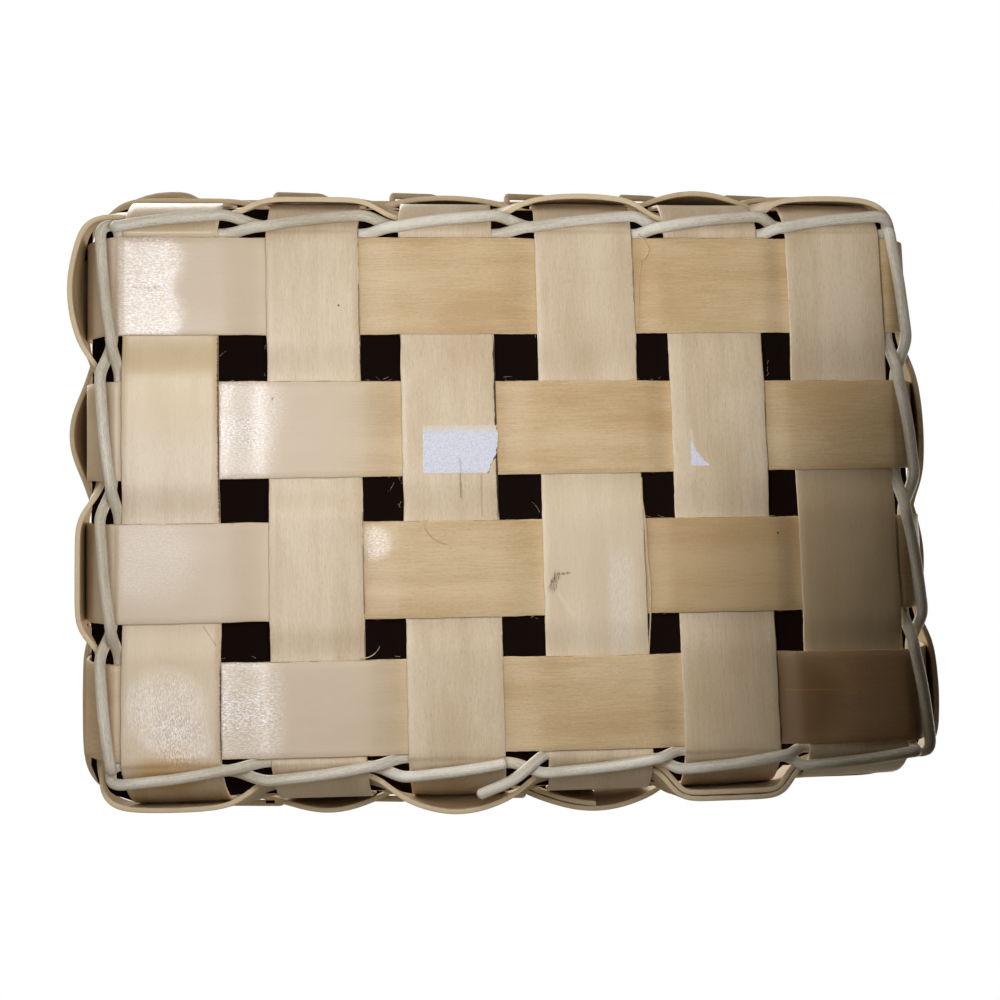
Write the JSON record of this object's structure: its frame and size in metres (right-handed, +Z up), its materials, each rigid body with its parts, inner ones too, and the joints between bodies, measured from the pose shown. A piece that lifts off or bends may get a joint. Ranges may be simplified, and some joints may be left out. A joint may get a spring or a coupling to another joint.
{
  "type": "splint berry basket",
  "caption": "Small rectangular basket woven from wide flat wood splints, with an open plain-weave base, round reeds twined round the foot and a lashed rim.",
  "frame": {"origin": "middle of the basket's footprint, at the level it stands on", "axes": "+Z up through the open mouth, X along the long sides, Y along the short sides"},
  "size_m": [0.2646, 0.198, 0.1071],
  "materials": {
    "cross_splint": "bare split wood, soft sheen",
    "long_splint": "bare split wood, soft sheen",
    "weaver": "bare split wood, soft sheen",
    "reed": "bare round reed, matt",
    "hoop": "bare split wood, matt"
  },
  "bodies": {
    "root": {"cross_splint_1": "cross_splint", "cross_splint_2": "cross_splint", "cross_splint_3": "cross_splint", "cross_splint_4": "cross_splint", "cross_splint_5": "cross_splint", "cross_splint_6": "cross_splint", "long_splint_1": "long_splint", "long_splint_2": "long_splint", "long_splint_3": "long_splint", "long_splint_4": "long_splint", "base_reed_1": "reed", "base_reed_2": "reed", "side_weaver_1": "weaver", "side_weaver_2": "weaver", "side_weaver_3": "weaver", "outer_rim_hoop": "hoop", "inner_rim_hoop": "hoop", "rim_filler": "reed", "rim_lashing": "reed"}
  },
  "joints": []
}
